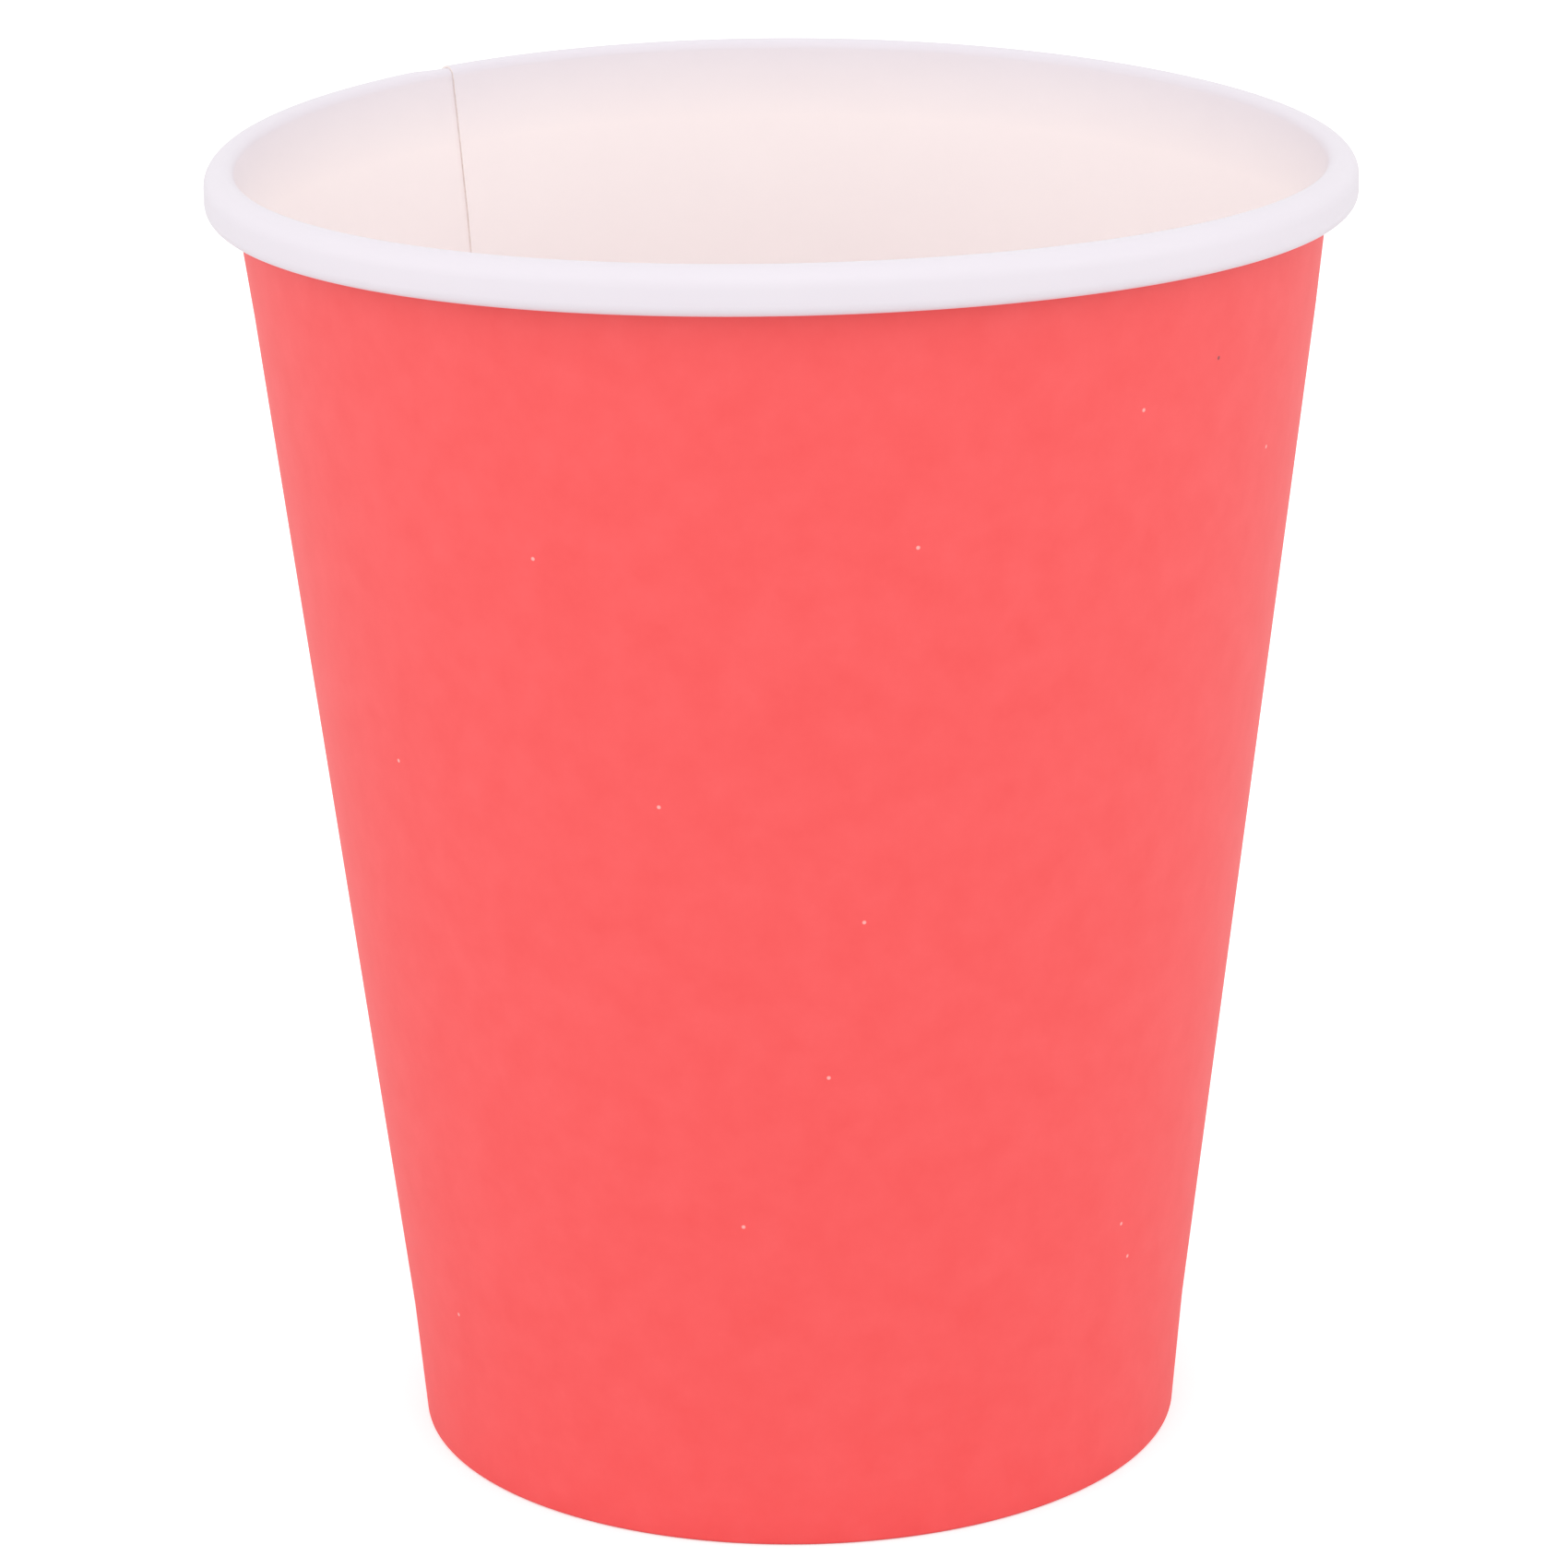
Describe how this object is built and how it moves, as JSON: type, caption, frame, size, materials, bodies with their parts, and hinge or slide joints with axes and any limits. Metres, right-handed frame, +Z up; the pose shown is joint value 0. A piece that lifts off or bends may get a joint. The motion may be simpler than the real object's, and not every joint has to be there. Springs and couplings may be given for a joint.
{
  "type": "tapered paper cup",
  "caption": "Flat-bottomed tapered paper cup with a rolled rim, a lapped side seam and a bottom disc hemmed into its foot.",
  "frame": {"origin": "centre of the foot, on the surface the cup stands on", "axes": "+Z up along the cup's axis, from the foot to the open rim; the side seam lies at about 125 degrees from +X, at the back left seen along +Y"},
  "size_m": [0.08, 0.08, 0.0938],
  "materials": {
    "coral_board": "matte coral print outside, white coated board inside",
    "white_board": "satin white coated board"
  },
  "bodies": {
    "root": {"sidewall": "coral_board", "bottom_disc": "white_board"}
  },
  "joints": []
}
